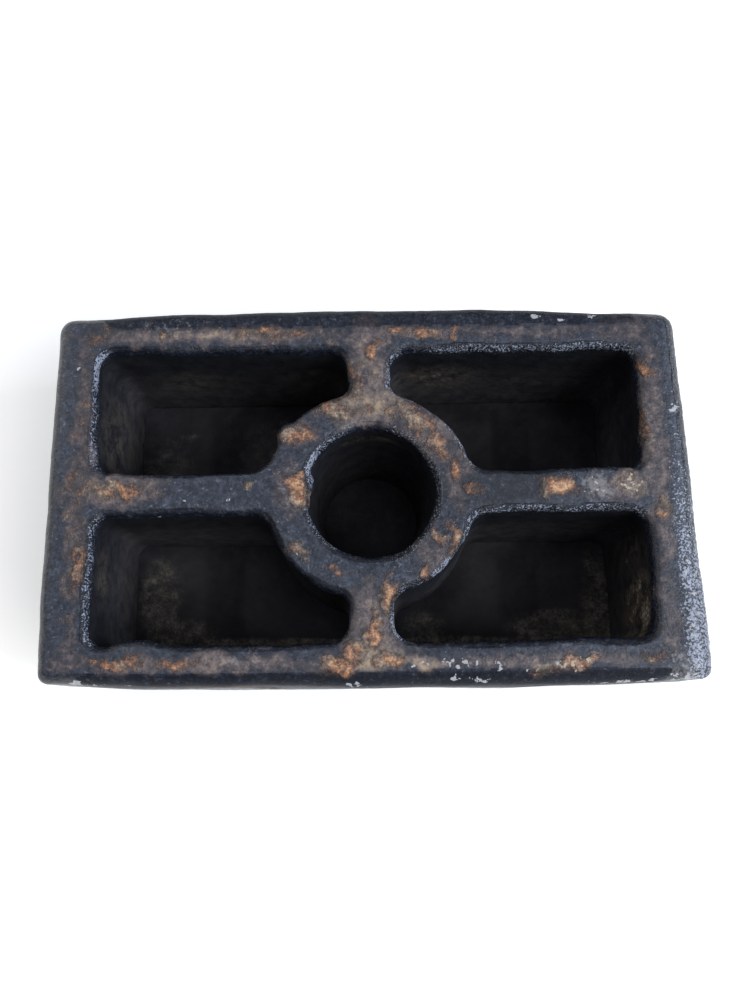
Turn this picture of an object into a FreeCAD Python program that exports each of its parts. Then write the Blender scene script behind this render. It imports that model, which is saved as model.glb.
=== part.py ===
"""Rectangular cast-iron flower frog, for holding cut stems upright in a shallow bowl.

One heavy sand casting, open from top to bottom: a rectangular frame, four webs that meet a round
centre ring, and so four stem pockets around one tapered centre socket. A thin rubber mat is bonded
to the underside. It closes the openings from below, and keeps the iron off the bowl.

Millimetres. +Z is up, +X is along the length. The openings are laid out around the centre socket,
and the finished pieces are then moved so that the origin is under the middle of the whole, on the
face that the frog stands on.
"""
import FreeCAD
import Part
import math
import os

V = FreeCAD.Vector

# Heights.
CASTING_HEIGHT = 26.0
MAT_THICKNESS = 2.0

# Outer plan at the top of the casting, from the centre of the socket. The hand-made pattern was a
# little out of square: the front right corner stands out, and each side is gently bowed.
CORNERS = [(50.85, -28.95), (49.8, 29.4), (-50.15, 29.5), (-50.0, -28.5)]
BOWS = [0.1, 1.25, 0.2, 0.7]     # how far the middle of the side after each corner stands out
CORNER_RADII = [1.6, 2.8, 2.6, 1.6]

# Walls. Every wall leans by its draft, so that the pattern could leave the sand.
POCKET_END = 42.8         # from the socket's centre to the pockets' ends, at the top
POCKET_SIDE = 23.2        # from the socket's centre to the pockets' long outer sides, at the top
WEB = 6.7                 # the four webs between the ring and the frame
OUTER_DRAFT = 0.6         # how much wider the base is than the top, on each side
POCKET_DRAFT = 0.6        # how much narrower a pocket is at the bottom, on each side

# Centre ring and its tapered socket.
RING_RADIUS = 16.4        # outside of the ring, at the top
SOCKET_TOP_RADIUS = 10.3
SOCKET_BOTTOM_RADIUS = 8.2

# Plan radii of a pocket's corners, at the top.
FRAME_CORNER = 2.6        # the two corners against the end wall
NOOK_CORNER = 3.2         # the far corner of the narrow end, between frame and web
RING_TO_CROSS_WEB = 2.4   # where the ring runs into the web that goes to a long side
RING_TO_LONG_WEB = 3.6    # where the ring runs into the web that goes to an end wall

# Rounded edges.
OUTER_TOP_ROUND = 2.7
RIM_ROUND = 1.5
SOCKET_RIM_ROUND = 1.7
OUTER_BOTTOM_ROUND = 0.8

# Rubber mat.
MAT_INSET = 1.4           # how far the mat's edge stays inside the casting's base
MAT_EDGE_ROUND = 0.4

TOP_Z = MAT_THICKNESS + CASTING_HEIGHT
TINY = 1e-4


def away(start, towards, distance):
    """The point at that distance from start, on the line towards another point."""
    gap = math.hypot(towards[0] - start[0], towards[1] - start[1])
    share = distance / gap
    return (start[0] + (towards[0] - start[0]) * share, start[1] + (towards[1] - start[1]) * share)


def arc(start, centre, radius, end, z):
    """The short arc of a circle from start to end."""
    chord = ((start[0] + end[0]) / 2, (start[1] + end[1]) / 2)
    middle = away(centre, chord, radius)
    return Part.Arc(V(*start, z), V(*middle, z), V(*end, z)).toShape()


def line(start, end, z):
    return Part.makeLine(V(*start, z), V(*end, z))


def mirrored(point, sx, sy):
    return (point[0] * sx, point[1] * sy)


def outer_outline(grow, z):
    """The outer plan: four gently bowed sides between sharp corners, moved outwards by grow."""
    corners = [(x + grow * math.copysign(1.0, x), y + grow * math.copysign(1.0, y)) for x, y in CORNERS]
    edges = []
    for number, bow in enumerate(BOWS):
        (x0, y0), (x1, y1) = corners[number], corners[(number + 1) % 4]
        side = math.hypot(x1 - x0, y1 - y0)
        outwards = ((y1 - y0) / side, (x0 - x1) / side)
        middle = ((x0 + x1) / 2 + bow * outwards[0], (y0 + y1) / 2 + bow * outwards[1])
        edges.append(Part.Arc(V(x0, y0, z), V(*middle, z), V(x1, y1, z)).toShape())
    return Part.Wire(edges)


def pocket_outline(shrink, sx, sy, z):
    """One pocket's plan, moved inwards by shrink, in the quadrant that sx and sy name."""
    near_x, near_y = WEB / 2 + shrink, WEB / 2 + shrink
    far_x = POCKET_END - shrink
    far_y = POCKET_SIDE - shrink
    ring = RING_RADIUS + shrink
    nook = NOOK_CORNER - shrink
    frame = FRAME_CORNER - shrink
    cross = RING_TO_CROSS_WEB - shrink
    long = RING_TO_LONG_WEB - shrink
    cross_centre = (near_x + cross, math.sqrt((ring + cross) ** 2 - (near_x + cross) ** 2))
    long_centre = (math.sqrt((ring + long) ** 2 - (near_y + long) ** 2), near_y + long)
    origin = (0.0, 0.0)

    def place(point):
        return mirrored(point, sx, sy)

    corners = [  # start, centre, radius, end of each arc, in order round the pocket
        ((near_x, far_y - nook), (near_x + nook, far_y - nook), nook, (near_x + nook, far_y)),
        ((far_x - frame, far_y), (far_x - frame, far_y - frame), frame, (far_x, far_y - frame)),
        ((far_x, near_y + frame), (far_x - frame, near_y + frame), frame, (far_x - frame, near_y)),
        ((long_centre[0], near_y), long_centre, long, away(origin, long_centre, ring)),
        (away(origin, long_centre, ring), origin, ring, away(origin, cross_centre, ring)),
        (away(origin, cross_centre, ring), cross_centre, cross, (near_x, cross_centre[1])),
    ]
    edges = []
    for number, (start, centre, radius, end) in enumerate(corners):
        edges.append(arc(place(start), place(centre), radius, place(end), z))
        following = corners[(number + 1) % len(corners)][0]
        if math.hypot(following[0] - end[0], following[1] - end[1]) > TINY:
            edges.append(line(place(end), place(following), z))
    return Part.Wire(edges)


def edges_at(solid, z, wanted):
    """The edges that lie wholly at height z and whose middle passes the wanted test."""
    found = []
    for edge in solid.Edges:
        low, high = edge.BoundBox.ZMin, edge.BoundBox.ZMax
        middle = edge.valueAt((edge.FirstParameter + edge.LastParameter) / 2)
        if abs(low - z) < TINY and abs(high - z) < TINY and wanted(middle):
            found.append(edge)
    return found


def on_outside(point):
    return abs(point.x) > POCKET_END + 3.0 or abs(point.y) > POCKET_SIDE + 3.0


def on_socket(point):
    return math.hypot(point.x, point.y) < (SOCKET_TOP_RADIUS + RING_RADIUS) / 2


def on_pocket(point):
    return not on_outside(point) and not on_socket(point)


def nearest_corner(edge):
    """The number of the outer corner that the edge is at."""
    middle = edge.BoundBox.Center
    return min(range(4), key=lambda n: math.hypot(middle.x - CORNERS[n][0], middle.y - CORNERS[n][1]))


def outer_block(foot, top, top_z, top_round):
    """The block between two outer outlines, with its upright corners and its top edge rounded."""
    sharp = Part.makeLoft([foot, top], True, True)
    chosen = []
    for number, edge in enumerate(sharp.Edges, 1):
        if edge.BoundBox.ZLength > TINY:
            radius = CORNER_RADII[nearest_corner(edge)]
            chosen.append((number, radius, radius))
        elif top_round and abs(edge.BoundBox.ZMin - top_z) < TINY:
            chosen.append((number, top_round, top_round))
    document = FreeCAD.newDocument("outer_block")
    base = document.addObject("Part::Feature", "sharp")
    base.Shape = sharp
    rounded = document.addObject("Part::Fillet", "rounded")
    rounded.Base = base
    rounded.Edges = chosen
    document.recompute()
    return rounded.Shape.Solids[0]


def cast_body():
    """The iron casting: frame, webs and ring in one piece, open from top to bottom."""
    base_z = MAT_THICKNESS
    foot = outer_outline(OUTER_DRAFT, base_z)
    outside = outer_block(foot, outer_outline(0.0, TOP_Z), TOP_Z, OUTER_TOP_ROUND)
    holes = []
    for sx, sy in ((1, 1), (-1, 1), (-1, -1), (1, -1)):
        bottom = pocket_outline(POCKET_DRAFT, sx, sy, base_z)
        mouth = pocket_outline(0.0, sx, sy, TOP_Z)
        holes.append(Part.makeLoft([bottom, mouth], True, True))
    socket = Part.makeCone(SOCKET_BOTTOM_RADIUS, SOCKET_TOP_RADIUS, CASTING_HEIGHT, V(0, 0, base_z))
    holes.append(socket)
    body = outside.cut(holes)
    body = body.makeFillet(SOCKET_RIM_ROUND, edges_at(body, TOP_Z, on_socket))
    body = body.makeFillet(RIM_ROUND, edges_at(body, TOP_Z, on_pocket))
    body = body.makeFillet(OUTER_BOTTOM_ROUND, edges_at(body, base_z, on_outside))
    return body


def base_mat():
    """The rubber mat under the casting. The frog stands on it."""
    grow = OUTER_DRAFT - MAT_INSET
    mat = outer_block(outer_outline(grow, 0.0), outer_outline(grow, MAT_THICKNESS), MAT_THICKNESS, 0.0)
    return mat.makeFillet(MAT_EDGE_ROUND, edges_at(mat, 0.0, on_outside))


def main():
    os.makedirs("parts", exist_ok=True)
    shapes = {"cast_body": cast_body(), "base_mat": base_mat()}
    middle = shapes["cast_body"].optimalBoundingBox().Center
    print(f"the socket's axis is at {-middle.x:.4f}, {-middle.y:.4f}")
    for name, shape in shapes.items():
        shape.translate(V(-middle.x, -middle.y, 0.0))
        box = shape.optimalBoundingBox()
        print(f"{name}: valid {shape.isValid()}, {len(shape.Solids)} solid, {shape.Volume:.0f} mm3,",
              f"{box.XLength:.2f} x {box.YLength:.2f}, z {box.ZMin:.2f} to {box.ZMax:.2f}")
        shape.exportStep(f"parts/{name}.step")


main()
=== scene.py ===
"""The looks of a cast-iron flower frog on its thin rubber mat.

Both pieces start from the CAD nodes, rebuilt as even small faces. The casting then gets the surface
that sand, handling and water leave: uneven walls, pebbled rims, a lump of flash, a rust flake. What
grows on the iron and where, and where highlights and shade are painted into its colour, is kept in
point attributes, which the material breaks up into grain.

Sizes are in millimetres, and MM turns them into metres. Places in the lists are measured from the
socket's axis, and depths from the top of the casting.
"""
import math
import bpy
import numpy as np
from mathutils import Matrix, Vector, noise


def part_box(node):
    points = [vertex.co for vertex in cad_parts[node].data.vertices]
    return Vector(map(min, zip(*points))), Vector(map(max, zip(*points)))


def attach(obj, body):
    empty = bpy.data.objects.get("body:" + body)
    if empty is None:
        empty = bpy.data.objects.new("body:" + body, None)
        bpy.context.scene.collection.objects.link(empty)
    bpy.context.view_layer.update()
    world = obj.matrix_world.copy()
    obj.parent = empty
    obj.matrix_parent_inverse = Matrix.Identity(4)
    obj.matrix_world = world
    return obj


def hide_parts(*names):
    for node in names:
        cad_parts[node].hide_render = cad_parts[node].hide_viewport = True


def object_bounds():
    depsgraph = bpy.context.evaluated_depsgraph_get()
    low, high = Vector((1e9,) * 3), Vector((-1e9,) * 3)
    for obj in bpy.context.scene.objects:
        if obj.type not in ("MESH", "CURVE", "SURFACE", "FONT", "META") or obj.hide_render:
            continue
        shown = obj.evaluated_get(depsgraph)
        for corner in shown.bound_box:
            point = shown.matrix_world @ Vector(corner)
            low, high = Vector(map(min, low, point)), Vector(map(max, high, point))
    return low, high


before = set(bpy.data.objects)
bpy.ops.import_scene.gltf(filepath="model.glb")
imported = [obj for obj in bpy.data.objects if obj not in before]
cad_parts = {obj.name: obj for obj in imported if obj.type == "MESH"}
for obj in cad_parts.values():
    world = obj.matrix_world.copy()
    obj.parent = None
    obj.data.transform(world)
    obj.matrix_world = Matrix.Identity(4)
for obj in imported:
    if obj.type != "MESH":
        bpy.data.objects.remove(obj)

MM = 0.001
CAD_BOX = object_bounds()
TOP = CAD_BOX[1].z / MM
HALF_X = CAD_BOX[1].x / MM
HALF_Y = CAD_BOX[1].y / MM
MAT_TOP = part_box("base_mat")[1].z / MM
SOCKET = np.array((-0.2753, -0.6287, 0.0))     # the socket's axis in the CAD

# Plan of the openings where they meet the mat, from the socket's axis.
SOCKET_RADIUS = 8.2
RING_RADIUS = 17.0
HALF_WEB = 3.9
POCKET_END = 42.2
POCKET_SIDE = 22.6
SHADOW_BAND = 26.3                      # a painted shadow, a darker band of the mat, crosses each pocket here

# Plan of the casting's top, from the socket's axis.
HALF_LENGTH, HALF_WIDTH = 50.0, 30.0
OUTSIDE_X, OUTSIDE_Y = 45.5, 25.5       # beyond these a wall is an outer one
SOCKET_RIM_RADIUS = 11.0
RIGHT_EDGE = (45.3, 47.3)               # between these the painted highlight of the right edge, with some lime, sets in
LONG_EDGES = (26.8, 27.5)               # between these the front and back edges turn dull and are painted darker, as shade

# Depths at which the look changes.
SIDES_FROM = 2.2                        # the front and back sides turn dull: a less shiny copy of the iron that paints them in shade
SHADE_FROM = 2.3                         # the walls of the openings turn black and dull, partly painted shade

# Mesh fineness.
CASTING_VOXEL = 0.34
MAT_VOXEL = 0.7
SMOOTHING_STEPS = 2
MOST_TRIANGLES = 196000
FULL_DETAIL_DEPTH = 3.0                 # down to here every triangle stays, to carry the grain

# Relief of the sand skin: size across and depth.
SAG_SIZE, SAG_DEPTH = 15.0, 0.20
WAVE_SIZE, WAVE_DEPTH = 5.0, 0.20
PEBBLE_SIZE, PEBBLE_DEPTH = 0.9, 0.10
GRAIN_SIZE, GRAIN_DEPTH = 1.8, 0.02
SIDE_TUCK = 0.25                        # how far the outer walls' lower parts draw in
RIGHT_EDGE_WEAR = 0.35

# The camera: its place from the middle of the socket's mouth, its turns in degrees, and its lens.
EYE = (0.66, -30.6, 129.2)
TILT, LEAN, TURN = 12.685, -0.05, -0.771
LENS, SENSOR_WIDTH = 31.05, 36.0

# Lumps and hollows, given one by one: x, y, radius in plan, height up, and height outwards in plan.
LUMPS = [
    (-13.4, 10.0, 1.7, 0.25, 0.95),     # flash on the ring's back left edge
    (-10.2, 1.6, 1.7, 0.25, 1.05),      # rust flake that hangs over the socket's mouth
    (-10.6, -1.2, 1.4, 0.22, 0.55),
    (-35.5, -23.6, 3.2, 0.0, 0.75),     # soft bulges of the front rims
    (34.5, -23.6, 4.0, 0.0, 0.45),
    (28.5, -0.4, 2.2, 0.16, 0.0),       # rust blister on the right web
    (-36.0, 23.8, 3.0, 0.0, -0.35),     # the back left pocket runs a little wide
    (-42.3, 20.0, 4.2, 0.0, -0.5),
    (-42.8, 12.5, 4.2, 0.0, -0.5),
]

# Rust on the top: x, y, half length along x, half length along y, strength.
RUST = [
    (-40.5, 0.6, 5.5, 1.3, 0.85),       # left web and frame
    (-19.2, 0.5, 0.8, 0.9, 0.8),
    (-10.8, 0.6, 1.5, 2.6, 1.08),       # flake at the socket
    (-11.5, 8.9, 2.7, 1.7, 0.75),       # ring, back left
    (-5.3, 13.2, 2.6, 1.5, 0.75),
    (-1.0, 13.4, 2.2, 1.0, 0.65),
    (5.5, 12.6, 3.2, 1.4, 0.7),         # ring, back right
    (8.3, 10.5, 2.0, 1.8, 0.8),
    (11.2, 7.2, 2.2, 1.9, 0.8),
    (13.4, 3.6, 1.2, 2.0, 0.6),
    (15.8, 0.3, 0.8, 1.1, 0.75),
    (1.0, 22.5, 1.2, 2.0, 0.8),         # back web
    (-1.6, 17.5, 1.6, 2.4, 0.65),
    (5.0, 26.0, 2.6, 1.2, 0.45),        # back frame
    (9.6, 25.9, 1.7, 1.2, 0.95),
    (13.8, 25.9, 0.9, 0.8, 0.55),
    (-15.0, 25.9, 7.0, 0.9, 0.48),
    (-32.3, 26.0, 1.2, 1.1, 0.8),
    (-43.5, 26.3, 2.2, 1.8, 0.4),
    (-44.2, -11.0, 0.9, 4.0, 0.68),     # left frame
    (-44.6, 2.0, 1.6, 24.0, 0.27),
    (-38.5, -25.6, 4.0, 0.9, 0.72),     # front frame
    (-29.0, -26.0, 3.0, 1.0, 0.74),
    (-5.0, -26.2, 2.8, 1.0, 0.9),
    (2.8, -25.6, 2.2, 1.3, 1.0),
    (30.5, -26.6, 2.6, 0.9, 1.0),
    (26.0, -27.6, 2.2, 0.9, 0.4),
    (42.0, -26.1, 2.8, 1.1, 0.55),
    (0.4, -19.4, 1.2, 1.8, 0.75),       # front web
    (2.7, -16.2, 1.1, 2.6, 1.0),
    (0.0, -22.3, 1.6, 2.0, 0.95),
    (-2.8, -24.8, 1.5, 1.4, 0.9),
    (-10.6, -8.8, 2.0, 1.4, 0.7),       # ring, front left
    (-5.6, -12.2, 1.8, 1.2, 0.65),
    (13.0, -8.2, 1.3, 2.4, 0.85),       # ring, front right
    (10.4, -7.0, 0.9, 1.6, 0.8),
    (8.2, -12.4, 1.0, 1.0, 0.85),
    (28.8, 0.2, 2.4, 1.6, 1.15),        # right web
    (40.5, 0.4, 2.6, 1.6, 0.45),
    (44.6, 19.4, 0.8, 1.5, 0.85),       # right frame
    (43.3, 10.0, 0.8, 2.6, 0.75),
    (45.3, -3.6, 1.2, 1.8, 0.6),
]

# Brown film on the top, as for RUST.
FILM = [
    (-44.9, 4.0, 1.9, 25.0, 0.8),       # left frame
    (-45.0, -24.0, 2.0, 5.0, 0.6),
    (-40.0, 0.6, 7.8, 2.4, 1.25),
    (-25.0, 25.7, 21.0, 1.5, 1.1),      # back frame
    (-20.0, 25.9, 12.0, 1.1, 1.55),
    (7.0, 25.9, 6.0, 1.2, 1.6),
    (22.0, 25.9, 20.0, 1.3, 0.62),
    (41.0, 26.0, 4.5, 3.0, 0.7),
    (0.0, 21.0, 3.6, 8.0, 1.2),         # back web and the ring's right half
    (0.0, 13.6, 7.5, 2.8, 1.65),
    (10.0, 9.0, 5.5, 5.0, 1.0),
    (13.6, 2.0, 2.2, 5.0, 0.95),
    (10.0, -10.0, 4.5, 3.5, 0.7),
    (-10.5, 9.0, 3.4, 2.6, 0.9),
    (-11.8, 0.0, 2.8, 4.4, 0.9),
    (44.6, 5.0, 1.9, 22.0, 0.9),        # right frame
    (44.6, -20.0, 1.9, 8.0, 0.6),
    (38.0, 0.0, 6.0, 2.3, 0.8),
    (40.2, 0.5, 2.6, 1.9, 1.9),
    (28.5, 0.0, 4.0, 2.0, 0.5),
    (0.0, -20.0, 3.4, 6.0, 1.1),        # front web
    (0.3, -24.6, 4.6, 2.4, 1.75),
    (0.0, -26.2, 5.0, 1.2, 1.9),
    (7.6, -26.2, 3.6, 1.0, 1.9),
    (26.2, -27.2, 3.2, 1.1, 1.8),
    (0.0, -26.0, 11.0, 1.4, 1.0),       # front frame
    (-27.0, -26.0, 18.0, 1.4, 1.2),
    (27.0, -26.2, 18.0, 1.3, 0.8),
]

# Pale grey haze of lime on the top, as for RUST.
HAZE = [
    (35.2, 0.3, 3.1, 3.2, 0.80),
    (39.8, 0.6, 2.4, 1.8, 0.55),
    (14.0, -26.6, 6.0, 1.0, 0.35),
    (29.0, -26.6, 5.0, 1.1, 0.5),
    (-30.0, 27.6, 10.0, 1.0, 0.4),
    (46.0, -27.0, 2.6, 3.0, 0.6),
    (-12.8, 0.0, 2.2, 5.5, 0.45),
    (-20.0, -25.6, 5.0, 0.9, 0.5),
]

# Places on the top that are darker than the rest, as for RUST.
DULL = [
    (21.5, 0.0, 6.0, 3.6, 0.9),
]

# White mineral flecks, as for RUST.
PALE = [
    (35.5, 0.4, 2.8, 2.4, 0.50),
    (40.6, 0.6, 2.0, 1.5, 0.80),
    (7.6, -26.3, 2.2, 1.0, 0.70),
    (12.8, -26.4, 2.4, 0.9, 0.85),
    (18.6, -27.0, 0.9, 0.9, 0.95),
    (24.0, -27.2, 1.6, 0.8, 0.60),
    (29.6, -26.6, 3.2, 1.1, 0.70),
    (12.2, -28.4, 1.0, 0.6, 0.95),
    (16.0, -28.9, 1.6, 0.6, 0.95),
    (-2.5, -29.2, 1.6, 0.5, 0.80),
    (38.5, -29.5, 5.2, 0.6, 1.15),
    (46.5, -29.0, 2.6, 1.0, 0.95),
    (-44.0, -28.6, 1.1, 0.8, 1.0),
    (-41.5, -29.2, 1.4, 0.8, 1.0),
    (-36.0, -29.6, 1.3, 0.7, 1.1),
    (27.0, 28.6, 1.4, 0.6, 1.0),
    (31.0, 27.8, 1.0, 0.6, 0.9),
    (36.0, 28.6, 0.9, 0.5, 0.9),
    (48.2, 12.8, 0.8, 0.9, 1.1),
    (48.0, 2.0, 0.8, 14.0, 0.45),
    (48.2, -18.0, 1.2, 12.0, 0.6),
    (-28.6, -1.3, 0.35, 0.35, 1.4),
    (-21.8, -1.2, 0.35, 0.35, 0.9),
    (-32.7, -3.3, 0.35, 0.35, 1.2),
    (-46.0, 20.7, 0.3, 0.3, 0.9),
    (-11.0, -9.6, 0.5, 0.4, 0.9),
]

# Where the painted highlight on the rims is brightest, as for RUST.
RIM_HIGHLIGHTS = [
    (-42.2, 21.3, 2.6, 3.4, 0.50),
    (-10.0, 5.0, 2.5, 3.0, 0.35),
    (27.0, -4.4, 16.0, 1.2, 0.15),
    (11.0, -12.0, 4.0, 4.0, 0.35),
    (4.5, -19.5, 1.5, 4.5, 0.35),
]

# Stains down in the openings: x, y, depth, half size in plan, half size in height, strength.
STAINS = [
    (-42.4, 10.0, 14.0, 8.0, 8.0, 0.7),
    (-42.2, -12.0, 7.0, 4.0, 3.0, 0.5),
    (-42.2, -17.0, 19.0, 7.0, 6.0, 0.3),
    (11.0, 22.8, 13.0, 6.5, 4.5, 1.0),
    (-9.0, 22.8, 16.0, 4.0, 6.0, 0.7),
    (-31.0, 22.8, 14.0, 4.0, 4.0, 0.6),
    (42.2, -18.0, 9.0, 6.0, 7.0, 1.5),
    (42.2, -9.0, 12.0, 3.0, 7.0, 1.0),
    (0.0, 9.8, 5.5, 3.5, 0.8, 0.8),
    (-4.6, -21.0, 12.0, 3.0, 9.0, 1.6),
    (5.0, -20.5, 12.0, 3.0, 8.0, 1.5),
]

# Silt on the mat at the bottom of the openings, as for RUST.
SILT = [
    (35.0, -19.4, 9.0, 2.8, 1.5),
    (40.5, -14.0, 3.0, 8.0, 0.9),
    (-33.0, -19.6, 5.0, 2.4, 0.9),
    (-38.0, -14.0, 4.0, 8.0, 0.7),
    (-33.8, 17.0, 2.4, 0.8, 0.6),
    (-37.0, 11.0, 6.0, 8.0, 0.42),
    (-16.0, 14.0, 12.0, 8.0, 0.45),
    (9.0, -19.0, 4.0, 3.0, 0.7),
    (-20.0, -21.4, 17.0, 0.6, 1.6),
    (14.0, -21.4, 9.0, 0.6, 1.5),
    (34.0, -21.4, 8.0, 0.6, 1.6),
    (0.0, 0.0, 9.0, 9.0, 0.35),
]


# ---------------------------------------------------------------- meshes

def with_modifiers(piece):
    """Puts the piece's modifiers into its mesh."""
    evaluated = piece.evaluated_get(bpy.context.evaluated_depsgraph_get())
    before = piece.data
    piece.data = bpy.data.meshes.new_from_object(evaluated)
    piece.data.name = piece.name
    piece.modifiers.clear()
    bpy.data.meshes.remove(before)
    piece.data.shade_smooth()


def even_mesh(name, node, voxel):
    """A CAD node's surface rebuilt as even small faces, with its edges softened."""
    piece = bpy.data.objects.new(name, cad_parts[node].data.copy())
    piece.data.materials.clear()
    bpy.context.scene.collection.objects.link(piece)
    rebuild = piece.modifiers.new("rebuild", "REMESH")
    rebuild.mode = "VOXEL"
    rebuild.voxel_size = voxel * MM
    relax = piece.modifiers.new("relax", "SMOOTH")
    relax.factor = 0.5
    relax.iterations = SMOOTHING_STEPS
    with_modifiers(piece)
    return piece


def thin_walls(piece):
    """Takes triangles away down the walls, until the piece has MOST_TRIANGLES."""
    depth = TOP - points_of(piece.data)[:, 2]
    walls = piece.vertex_groups.new(name="walls")
    walls.add(np.flatnonzero(depth > FULL_DETAIL_DEPTH).tolist(), 1.0, "REPLACE")
    thin = piece.modifiers.new("thin", "DECIMATE")
    thin.vertex_group = walls.name
    thin.ratio = min(1.0, MOST_TRIANGLES / (2 * len(piece.data.polygons)))
    with_modifiers(piece)
    piece.vertex_groups.clear()


def points_of(mesh):
    """The mesh's points in millimetres, one row each."""
    flat = np.empty(len(mesh.vertices) * 3, np.float32)
    mesh.vertices.foreach_get("co", flat)
    return flat.reshape(-1, 3).astype(float) / MM


def normals_of(mesh):
    """The smooth normal at each of the mesh's points."""
    flat = np.empty(len(mesh.vertices) * 3, np.float32)
    mesh.vertex_normals.foreach_get("vector", flat)
    return flat.reshape(-1, 3).astype(float)


def set_points(mesh, points):
    """Moves the mesh's points to places in millimetres."""
    mesh.vertices.foreach_set("co", (points * MM).astype(np.float32).ravel())
    mesh.update()


def set_attribute(mesh, name, values):
    """Keeps one number per point, for the material to read by name."""
    attribute = mesh.attributes.new(name, "FLOAT", "POINT")
    attribute.data.foreach_set("value", np.clip(values, 0.0, 2.0).astype(np.float32))


def ramp(values, low, high):
    """0 at low, 1 at high, and smooth between."""
    t = np.clip((values - low) / (high - low), 0.0, 1.0)
    return t * t * (3.0 - 2.0 * t)


def fading(depth, whole, gone):
    """1 down to the first depth, 0 from the second, and smooth between."""
    return ramp(-depth, -gone, -whole)


def field(points, size, shift):
    """Smooth noise from about -1 to 1, with features of the given size. Each use has its own shift."""
    moved = points / size + shift
    return np.array([noise.noise(p) for p in moved.tolist()]) * 1.6


def pebbles(points, size, shift):
    """Round grains that touch: 1 on top of a grain, 0 between grains."""
    moved = (points / size + shift).tolist()
    distance = np.array([noise.voronoi(p, distance_metric="DISTANCE_SQUARED")[0][0] for p in moved])
    return np.clip(1.0 - 1.6 * distance, 0.0, 1.0)


def soft_spot(reach):
    """1 in the middle of a spot and almost 0 past its edge. Reach is the square of the distance."""
    return np.exp(-0.7 * reach ** 1.5)


def patches(x, y, spots):
    """The strongest of many soft-edged oval spots in plan."""
    total = np.zeros(len(x))
    for spot_x, spot_y, half_x, half_y, strength in spots:
        reach = ((x - spot_x) / half_x) ** 2 + ((y - spot_y) / half_y) ** 2
        total = np.maximum(total, strength * soft_spot(reach))
    return total


def stains(x, y, depth):
    """The strongest of the soft-edged stains on the walls of the openings."""
    total = np.zeros(len(x))
    for spot_x, spot_y, down, plan, height, strength in STAINS:
        reach = ((x - spot_x) ** 2 + (y - spot_y) ** 2) / plan ** 2 + (depth - down) ** 2 / height ** 2
        total = np.maximum(total, strength * soft_spot(reach))
    return total


class Regions:
    """Which part of the casting each of its points is on, from its place and its smooth normal."""

    def __init__(self, points, normals):
        x, y, z = (points - SOCKET).T
        nx, ny, nz = normals.T
        self.depth = TOP - z
        self.top = fading(self.depth, 0.4, 1.8) * ramp(nz, 0.86, 0.98)
        outwards = (x * nx / HALF_LENGTH + y * ny / HALF_WIDTH) > 0.0
        self.outer = outwards & ((np.abs(x) > OUTSIDE_X) | (np.abs(y) > OUTSIDE_Y))
        self.inside = ~self.outer & (nz < 0.85)
        self.near_top = fading(self.depth, 3.0, 6.0)
        # Sand and a painted highlight sit on the edges that face the lights on the right, and in the
        # right
        #         # half also on those that look forwards. The flats and the other edges are worn
        #         smoother.
        to_right = ramp(nx, 0.15, 0.6)
        to_front = ramp(-ny, 0.15, 0.6) * ramp(x, 2.0, 14.0) * (y > -25.0)
        off_rim = np.abs(np.hypot(x, y) - SOCKET_RIM_RADIUS)
        socket_rim = 0.75 * ramp(-off_rim, -2.0, -1.0) * ramp(x, 0.0, 4.0)
        self.facing_light = np.maximum.reduce([to_right, to_front, socket_rim]) * (1.0 - self.top)
        self.skin = np.maximum(self.facing_light, 0.15 * (1.0 - self.top))


def roughened(points, normals):
    """The points moved as the sand, the pour and years of handling left them."""
    on = Regions(points, normals)
    x, y = (points - SOCKET).T[:2]
    relief = SAG_DEPTH * field(points, SAG_SIZE, shift=3.0)
    rim = on.near_top * (1.0 - on.top)
    relief += WAVE_DEPTH * rim * np.where(on.outer, 0.4, 1.0) * field(points, WAVE_SIZE, shift=11.0)
    relief += PEBBLE_DEPTH * (0.08 + 0.92 * on.skin) * (pebbles(points, PEBBLE_SIZE, shift=7.0) - 0.6)
    relief += GRAIN_DEPTH * field(points, GRAIN_SIZE, shift=19.0)
    relief -= SIDE_TUCK * on.outer * ramp(on.depth, 12.0, 24.0)
    moved = points + normals * relief[:, None]
    for lump_x, lump_y, radius, up, out in LUMPS:
        here = np.exp(-(((x - lump_x) ** 2 + (y - lump_y) ** 2) / radius ** 2) ** 2) * on.near_top
        moved[:, 2] += up * here
        moved[:, :2] += normals[:, :2] * (out * here)[:, None]
    moved[:, 2] -= RIGHT_EDGE_WEAR * (ramp(x, 45.0, 50.5) * on.near_top) ** 1.5
    return np.clip(moved, (-HALF_X, -HALF_Y, MAT_TOP), (HALF_X, HALF_Y, TOP))


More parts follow.
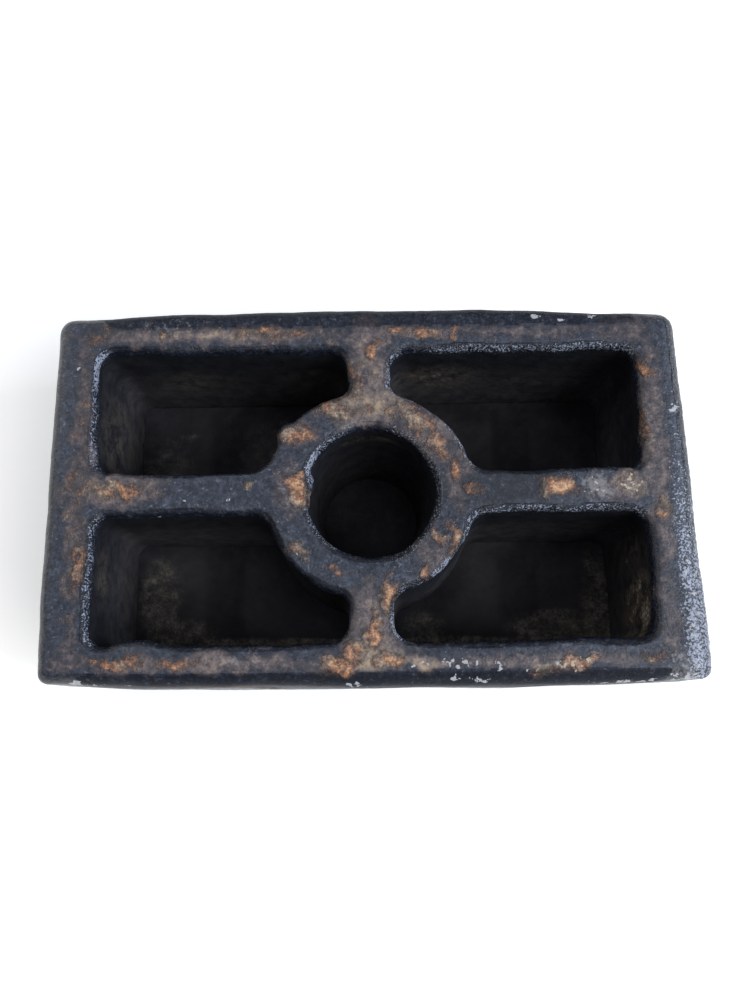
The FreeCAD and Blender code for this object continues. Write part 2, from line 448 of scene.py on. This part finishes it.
def casting():
    """The iron casting: its worked surface, and where rust, film, lime, stains, painted highlight and
    painted shade are on it.
    """
    piece = even_mesh("iron_casting", "cast_body", CASTING_VOXEL)
    set_points(piece.data, roughened(points_of(piece.data), normals_of(piece.data)))
    thin_walls(piece)
    mesh = piece.data
    points, normals = points_of(mesh), normals_of(mesh)
    on = Regions(points, normals)
    x, y = (points - SOCKET).T[:2]

    # Growth follows the pits of the casting, so the patches have ragged outlines.
    ragged_x = x + field(points, 2.6, shift=61.0)
    ragged_y = y + 0.8 * field(points, 2.6, shift=71.0)
    shallow = fading(on.depth, 1.0, 3.0)
    film = patches(ragged_x, ragged_y, FILM) * fading(on.depth, 0.5, 3.0)
    haze = patches(ragged_x, ragged_y, HAZE) * shallow

    # Painted highlight, with some lime on the right edge: on the right edge, which faces the window,
    # most at the front, and on the rims of the openings that face the lights.
    right_edge = ramp(x, *RIGHT_EDGE) * ramp(-y, -29.0, 18.0) * fading(on.depth, 2.0, 3.4)
    rims = on.facing_light * (np.abs(x) < 45.0) * fading(on.depth, 1.3, 2.4) * ramp(on.depth, 0.05, 0.35)
    rims *= 0.80 + patches(x, y, RIM_HIGHLIGHTS)

    # Rust: the patches of the top, less where the painted highlight is, and ragged blots down the outer
    # sides.
    blots = ramp(field(points, 7.0, shift=31.0), 0.25, 0.9)
    side_rust = 0.55 * blots * on.outer * ramp(on.depth, 3.0, 8.0)
    rust = patches(ragged_x, ragged_y, RUST) * fading(on.depth, 1.5, 4.0)
    rust = rust * (1.0 - 0.6 * rims) + side_rust

    # The front and back edges are duller than the flats and painted darker as shade, the back one less
    # so.
    edges = ramp(np.abs(y + 0.25), *LONG_EDGES) * ramp(-np.abs(x), -47.0, -40.0)
    edges *= np.where(y < 0.0, 1.0, 0.7)
    shade_and_dull = edges * fading(on.depth, 2.5, 16.0) + patches(ragged_x, ragged_y, DULL) * shallow

    # The walls get lighter towards the mat, less so in the socket.
    in_socket = np.hypot(x, y) < 12.0
    deep = ramp(on.depth, 5.0, 22.0) * np.where(in_socket, 0.45, 1.0)

    set_attribute(mesh, "top", on.top)
    set_attribute(mesh, "skin", on.skin)
    set_attribute(mesh, "film", film)
    set_attribute(mesh, "rust", rust)
    set_attribute(mesh, "pale", patches(x, y, PALE) * fading(on.depth, 2.4, 3.6))
    set_attribute(mesh, "haze", haze)
    set_attribute(mesh, "highlight_and_lime", np.maximum(right_edge, rims))
    set_attribute(mesh, "shade_and_dull", shade_and_dull)
    set_attribute(mesh, "stain", stains(x, y, on.depth) * on.inside)
    set_attribute(mesh, "deep", deep)

    mesh.materials.append(iron_material("old_cast_iron", 0.5))
    mesh.materials.append(iron_material("dull_shaded_cast_iron", 0.15))
    mesh.materials.append(shaded_inner_material())
    # The front and back sides, and parts of those edges, get the less shiny copy of the iron, which
    # paints shade on them.
    sides = on.outer & (np.abs(normals[:, 1]) > 0.7) & (on.depth > SIDES_FROM)
    shaded_and_dulled = sides | (edges + 0.2 * field(points, 2.0, shift=51.0) > 0.45)
    # Down the openings the iron turns black and dull: partly its own black, partly painted shade.
    shaded_inside = on.inside & (on.depth > SHADE_FROM + 0.5 * field(points, 2.5, shift=41.0))
    slots = np.where(shaded_inside, 2, np.where(shaded_and_dulled, 1, 0))
    for face in mesh.polygons:
        face.material_index = int(slots[face.vertices[0]])
    return piece


def rubber_mat():
    """The rubber mat, with silt on it, and painted shade: darker next to a wall, across each pocket and
    in the right half.
    """
    piece = even_mesh("rubber_mat", "base_mat", MAT_VOXEL)
    mesh = piece.data
    points, normals = points_of(mesh), normals_of(mesh)
    x, y, z = (points - SOCKET).T
    relief = 0.06 * (field(points, 9.0, shift=5.0) - 0.8) * ramp(z, 0.5, 1.5)
    set_points(mesh, points + normals * relief[:, None])
    set_attribute(mesh, "silt", patches(x, y, SILT) * ramp(z, 1.0, 1.6))

    along, across, out = np.abs(x), np.abs(y), np.hypot(x, y)
    in_pocket = np.minimum.reduce([along - HALF_WEB, POCKET_END - along,
                                   across - HALF_WEB, POCKET_SIDE - across, out - RING_RADIUS])
    # Painted shade on the mat: darker next to the walls, in a shadow band across each pocket, and in the
    # right half, where it evens out the window's light.
    from_wall = np.maximum(in_pocket, SOCKET_RADIUS - out)
    painted_shadow_band = ramp(-np.abs(along - SHADOW_BAND), -4.5, -2.0)
    set_attribute(mesh, "mat_unshaded", ramp(from_wall, -0.5, 6.0) - painted_shadow_band - 0.35 * ramp(x, 4.0, 10.0))
    return piece


# ---------------------------------------------------------------- materials

class Shader:
    """A material's node tree, built with few words.

    Wherever a method takes a value it also takes a plain number, and wherever a colour, (r, g, b).
    """

    def __init__(self, name):
        self.material = bpy.data.materials.new(name)
        self.material.use_nodes = True
        self.tree = self.material.node_tree
        self.surface = self.tree.nodes["Principled BSDF"]
        self.place = self.node("ShaderNodeTexCoord").outputs["Object"]

    def node(self, kind, **values):
        """A new node, with its inputs linked or set, and its other settings set, by name."""
        made = self.tree.nodes.new(kind)
        for key, value in values.items():
            if hasattr(value, "is_output"):
                self.tree.links.new(value, made.inputs[key])
            elif key in made.inputs:
                made.inputs[key].default_value = value
            else:
                setattr(made, key, value)
        return made

    def put(self, value, socket):
        """Links an output to the socket, or sets the socket to a number or a colour."""
        if hasattr(value, "is_output"):
            self.tree.links.new(value, socket)
        elif isinstance(value, tuple):
            socket.default_value = (*value, 1.0)
        else:
            socket.default_value = value

    def link(self, output, key):
        """Links an output to the surface."""
        self.tree.links.new(output, self.surface.inputs[key])

    def attribute(self, name):
        """A point attribute of the mesh."""
        return self.node("ShaderNodeAttribute", attribute_name=name).outputs["Fac"]

    def noise(self, size, detail=4.0, roughness=0.6, shift=0.0):
        """Noise from 0 to 1 with features of about size millimetres."""
        moved = self.node("ShaderNodeVectorMath", operation="ADD")
        self.tree.links.new(self.place, moved.inputs[0])
        moved.inputs[1].default_value = (shift, shift * 0.7, shift * 1.3)
        made = self.node("ShaderNodeTexNoise", Vector=moved.outputs[0], Scale=1.0 / (size * MM),
                         Detail=detail, Roughness=roughness)
        return made.outputs["Fac"]

    def maths(self, operation, first, second):
        made = self.node("ShaderNodeMath", operation=operation)
        self.put(first, made.inputs[0])
        self.put(second, made.inputs[1])
        return made.outputs[0]

    def sum(self, *terms):
        """Adds up values and (value, weight) pairs."""
        total = None
        for term in terms:
            if isinstance(term, tuple):
                term = self.maths("MULTIPLY", *term)
            total = term if total is None else self.maths("ADD", total, term)
        return total

    def product(self, first, second):
        return self.maths("MULTIPLY", first, second)

    def step(self, value, low, high, to_low=0.0, to_high=1.0):
        """A smooth step from to_low to to_high while value goes from low to high."""
        made = self.node("ShaderNodeMapRange", interpolation_type="SMOOTHSTEP")
        for key, setting in (("Value", value), ("From Min", low), ("From Max", high),
                             ("To Min", to_low), ("To Max", to_high)):
            self.put(setting, made.inputs[key])
        return made.outputs["Result"]

    def colours(self, value, *stops):
        """A colour ramp: stops are (position, (r, g, b))."""
        made = self.node("ShaderNodeValToRGB")
        self.tree.links.new(value, made.inputs["Fac"])
        elements = made.color_ramp.elements
        while len(elements) < len(stops):
            elements.new(0.5)
        for element, (position, colour) in zip(elements, stops):
            element.position = position
            element.color = (*colour, 1.0)
        return made.outputs["Color"]

    def mix(self, share, first, second):
        """The first colour where share is 0, the second where it is 1."""
        made = self.node("ShaderNodeMix", data_type="RGBA")
        for number, value in ((0, share), (6, first), (7, second)):     # its colour sockets are 6 and 7
            self.put(value, made.inputs[number])
        return made.outputs[2]

    def bump(self, height, depth, below=None):
        """A normal raised by height, depth millimetres high, on top of another normal."""
        made = self.node("ShaderNodeBump", Strength=1.0, Distance=depth * MM, Height=height)
        if below:
            self.put(below, made.inputs["Normal"])
        return made.outputs["Normal"]


def iron_material(name, specular):
    """Old blackened iron with painted glints. Over it, in this order: brown film, painted shade on the
    front and back sides, a painted highlight on the edges with some lime, rust, haze and white flecks.
    """
    s = Shader(name)
    top, film, skin, shade_and_dull = (s.attribute(key) for key in ("top", "film", "skin", "shade_and_dull"))
    rust, pale, haze, highlight_and_lime = (s.attribute(key) for key in ("rust", "pale", "haze", "highlight_and_lime"))
    middle = s.noise(2.2, detail=5.0, shift=0.31)
    crumb = s.noise(0.85, detail=6.0, roughness=0.68, shift=0.77)
    other = s.noise(0.95, detail=6.0, roughness=0.7, shift=0.13)
    fine = s.noise(0.33, detail=3.0, shift=0.53)
    drift = s.noise(3.6, detail=2.0, shift=0.91)
    flakes = s.noise(0.8, detail=2.0, roughness=0.5, shift=0.61)      # rounder and further apart

    # Bare iron: handled flats with painted glints and small dark specks, and darker rims.
    flat_tone = s.sum((crumb, 0.9), (fine, 0.3), -0.10)
    flat = s.colours(flat_tone, (0.36, (0.012, 0.015, 0.025)), (0.50, (0.026, 0.033, 0.052)),
                     (0.60, (0.043, 0.053, 0.078)), (0.70, (0.088, 0.100, 0.132)))
    # Painted highlights: small pale glints on the flats.
    flat = s.mix(s.step(fine, 0.66, 0.74), flat, (0.20, 0.21, 0.24))
    flat = s.mix(s.step(flakes, 0.665, 0.70, 0.0, 0.55), flat, (0.15, 0.165, 0.20))
    flat = s.mix(s.step(flakes, 0.32, 0.36, 0.7, 0.0), flat, (0.008, 0.009, 0.014))
    rim = s.colours(crumb, (0.36, (0.005, 0.007, 0.012)), (0.55, (0.012, 0.015, 0.026)),
                    (0.72, (0.06, 0.07, 0.10)))
    worn = s.step(s.sum((top, 0.8), (crumb, 0.4)), 0.45, 0.80)
    iron = s.mix(worn, rim, flat)

    # Brown film, and the painted shade that turns the front and back sides dull black.
    brown_tone = s.sum((other, 0.75), (middle, 0.40), (fine, 0.25), (film, 0.24), -0.395)
    brown = s.colours(brown_tone, (0.33, (0.026, 0.023, 0.029)), (0.46, (0.060, 0.053, 0.063)),
                      (0.56, (0.113, 0.093, 0.097)), (0.66, (0.205, 0.160, 0.135)),
                      (0.78, (0.36, 0.27, 0.18)))
    filmed = s.step(s.sum((film, 0.6), (middle, 0.7), (crumb, 0.5), (fine, 0.2)), 0.84, 1.10)
    colour = s.mix(filmed, iron, brown)
    shaded = s.colours(crumb, (0.40, (0.004, 0.005, 0.009)), (0.58, (0.011, 0.013, 0.021)),
                       (0.68, (0.045, 0.050, 0.068)))
    colour = s.mix(s.product(shade_and_dull, 0.8), colour, shaded)

    # A painted highlight in fine bluish grains on the edges that face the lights, with some lime on the
    # right edge.
    highlighted = s.step(s.sum((highlight_and_lime, 0.40), (fine, 1.5), (crumb, 0.5), -0.97), 0.38, 0.50)
    colour = s.mix(s.product(highlighted, s.step(highlight_and_lime, 0.0, 0.3)), colour, (0.265, 0.295, 0.375))

    # Rust: orange where it is thickest, in places a duller crust, and a dark halo around it.
    rust_level = s.sum((rust, 0.70), (middle, 1.05), (crumb, 0.3), -0.72)
    rusted = s.step(s.sum((rust_level, 1.0), (fine, 0.3), -0.15), 0.08, 0.36)
    rust_tone = s.sum((rust_level, 0.45), (other, 0.95), (fine, 0.45), -0.36)
    rust_colour = s.colours(rust_tone, (0.40, (0.046, 0.032, 0.032)), (0.48, (0.105, 0.060, 0.048)),
                            (0.57, (0.21, 0.103, 0.062)), (0.67, (0.39, 0.203, 0.108)),
                            (0.80, (0.58, 0.400, 0.255)))
    crust_colour = s.colours(rust_tone, (0.42, (0.070, 0.055, 0.050)), (0.56, (0.17, 0.130, 0.105)),
                             (0.75, (0.40, 0.320, 0.230)))
    crusty = s.product(s.step(drift, 0.44, 0.58, 0.0, 0.85), s.step(rust, 0.75, 0.95, 1.0, 0.0))
    rust_colour = s.mix(crusty, rust_colour, crust_colour)
    halo = s.product(s.step(rust_level, -0.05, 0.10), s.step(rust, 0.1, 0.3, 0.0, 0.22))
    colour = s.mix(halo, colour, (0.020, 0.015, 0.016))
    colour = s.mix(rusted, colour, rust_colour)

    # Mineral: a grey haze and hard white flecks, yellowed where they sit on rust.
    hazed = s.step(s.sum((haze, 0.6), (other, 1.3), (fine, 0.4), -0.85), 0.22, 0.55, 0.0, 0.8)
    colour = s.mix(s.product(hazed, s.step(haze, 0.0, 0.2)), colour, (0.20, 0.19, 0.205))
    flecked = s.step(s.sum((pale, 0.45), (flakes, 1.7), (fine, 0.25), -1.10), 0.30, 0.35)
    fleck = s.mix(s.step(rust, 0.1, 0.5), (0.38, 0.385, 0.40), (0.46, 0.385, 0.275))
    colour = s.mix(s.product(flecked, s.step(pale, 0.05, 0.25)), colour, fleck)
    s.link(colour, "Base Color")

    # Rust and the dull sides scatter the light most.
    s.link(s.sum((rusted, 0.25), (worn, 0.15), (shade_and_dull, 0.3), (crumb, 0.4), 0.08), "Roughness")
    s.surface.inputs["IOR"].default_value = 1.5
    s.surface.inputs["Specular IOR Level"].default_value = specular

    # Pits all over, sand grains on the edges, and a crust where it has rusted.
    pitted = s.bump(s.sum((crumb, 1.0), (fine, 0.5), (flakes, 0.5)), 0.11)
    pebbled = s.bump(s.product(s.sum((fine, 1.0), (crumb, 0.6)), skin), 0.32, pitted)
    crusted = s.bump(s.product(rusted, s.sum((other, 1.0), (fine, 0.4))), 0.20, pebbled)
    s.link(crusted, "Normal")
    return s.material


def shaded_inner_material():
    """The black, dull iron down in the openings, partly the iron's own black and partly painted shade,
    with brown water stains.
    """
    s = Shader("shaded_inner_iron")
    stain, deep = s.attribute("stain"), s.attribute("deep")
    middle, fine = s.noise(2.4, shift=0.31), s.noise(0.6, shift=0.77)
    high = s.colours(middle, (0.3, (0.006, 0.0065, 0.009)), (0.7, (0.014, 0.0145, 0.018)))
    low = s.colours(middle, (0.35, (0.036, 0.036, 0.044)), (0.65, (0.068, 0.065, 0.071)))
    dark = s.mix(deep, high, low)
    stained = s.product(stain, s.step(s.sum((middle, 0.6), (fine, 0.5)), 0.40, 0.70))
    crust = s.step(s.sum((middle, 0.8), (fine, 0.8)), 0.86, 0.98)
    crusted = s.product(s.step(stain, 0.7, 1.2), crust)
    stained_colour = s.mix(crusted, (0.088, 0.074, 0.059), (0.25, 0.22, 0.175))
    s.link(s.mix(stained, dark, stained_colour), "Base Color")
    s.link(s.sum((fine, 0.3), (stained, 0.1), 0.45), "Roughness")
    s.surface.inputs["Specular IOR Level"].default_value = 0.16
    pitted = s.bump(s.sum((fine, 0.6), (middle, 1.0)), 0.12)
    s.link(pitted, "Normal")
    return s.material


def mat_material():
    """Matt black rubber, with pale brown silt where water stood, and darker where shade is painted on
    it.
    """
    s = Shader("black_rubber")
    silt, unshaded = s.attribute("silt"), s.attribute("mat_unshaded")
    broad, middle, fine = s.noise(14.0), s.noise(1.8, shift=0.2), s.noise(0.4, shift=0.5)
    tone = s.sum((broad, 0.7), (middle, 0.3), (unshaded, 0.22), -0.10)
    colour = s.colours(tone, (0.34, (0.016, 0.016, 0.021)), (0.50, (0.034, 0.034, 0.042)),
                       (0.68, (0.056, 0.055, 0.065)))
    grain = s.step(s.sum((middle, 0.6), (fine, 0.5), (silt, 0.1)), 0.38, 0.75)
    silted = s.product(s.step(silt, 0.2, 0.75), grain)
    silt_colour = s.colours(s.sum((middle, 0.7), (fine, 0.4), -0.05), (0.36, (0.055, 0.050, 0.046)),
                            (0.52, (0.120, 0.110, 0.100)), (0.66, (0.230, 0.205, 0.170)))
    s.link(s.mix(silted, colour, silt_colour), "Base Color")
    s.link(s.sum((middle, 0.15), (silted, 0.2), 0.5), "Roughness")
    s.surface.inputs["Specular IOR Level"].default_value = 0.15
    s.link(s.bump(s.sum((fine, 0.5), (middle, 1.0)), 0.04), "Normal")
    return s.material


# ---------------------------------------------------------------- stage, light and camera

def floor():
    """A pale table, large enough to fill every view."""
    half = 3.0
    mesh = bpy.data.meshes.new("floor")
    corners = [(-half, -half, 0.0), (half, -half, 0.0), (half, half, 0.0), (-half, half, 0.0)]
    mesh.from_pydata(corners, [], [(0, 1, 2, 3)])
    piece = bpy.data.objects.new("floor", mesh)
    bpy.context.scene.collection.objects.link(piece)
    s = Shader("pale_floor")
    s.link(s.colours(s.noise(300.0), (0.3, (0.86, 0.86, 0.86)), (0.7, (0.90, 0.90, 0.90))), "Base Color")
    s.surface.inputs["Roughness"].default_value = 0.9
    s.surface.inputs["Emission Color"].default_value = (1.0, 1.0, 1.0, 1.0)
    s.surface.inputs["Emission Strength"].default_value = 0.35
    mesh.materials.append(s.material)


def area_light(name, azimuth, elevation, distance, size, power, colour):
    """A square soft light that looks at the object. Azimuth 0 is in front, and 90 on the right."""
    data = bpy.data.lights.new(name, "AREA")
    data.shape = "SQUARE"
    data.size = size
    data.energy = power
    data.color = colour
    lamp = bpy.data.objects.new(name, data)
    bpy.context.scene.collection.objects.link(lamp)
    a, e = math.radians(azimuth), math.radians(elevation)
    away = Vector((math.sin(a) * math.cos(e), -math.cos(a) * math.cos(e), math.sin(e)))
    lamp.location = away * distance
    lamp.rotation_euler = away.to_track_quat("Z", "Y").to_euler()


def lights():
    """A cool window on the right, the room in front of it, and a pale wall at the back left."""
    area_light("window", azimuth=85, elevation=24, distance=1.3, size=0.7, power=16.0,
               colour=(0.74, 0.84, 1.0))
    area_light("room", azimuth=55, elevation=46, distance=1.8, size=1.2, power=20.0,
               colour=(1.0, 0.99, 0.97))
    area_light("wall", azimuth=235, elevation=30, distance=1.6, size=1.2, power=7.0,
               colour=(1.0, 0.98, 0.96))
    world = bpy.data.worlds.new("studio")
    world.use_nodes = True
    background = world.node_tree.nodes["Background"]
    background.inputs["Color"].default_value = (0.93, 0.96, 1.0, 1.0)
    background.inputs["Strength"].default_value = 0.36
    bpy.context.scene.world = world


def camera():
    """A phone held a hand's width above the frog, a little in front of its middle."""
    data = bpy.data.cameras.new("camera")
    data.sensor_width = SENSOR_WIDTH
    data.lens = LENS
    data.clip_start = 0.01
    data.clip_end = 10.0
    eye = bpy.data.objects.new("camera", data)
    bpy.context.scene.collection.objects.link(eye)
    turned = Matrix.Identity(4)
    for angle, axis in ((TILT, "X"), (LEAN, "Y"), (TURN, "Z")):
        turned = turned @ Matrix.Rotation(math.radians(angle), 4, axis)
    place = Vector((EYE[0] + SOCKET[0], EYE[1] + SOCKET[1], TOP + EYE[2])) * MM
    eye.matrix_world = Matrix.Translation(place) @ turned
    bpy.context.scene.camera = eye


iron = casting()
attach(iron, "root")
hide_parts("cast_body")

mat = rubber_mat()
mat.data.materials.append(mat_material())
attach(mat, "root")
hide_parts("base_mat")

floor()
lights()
camera()
bpy.context.scene.view_settings.view_transform = "Standard"
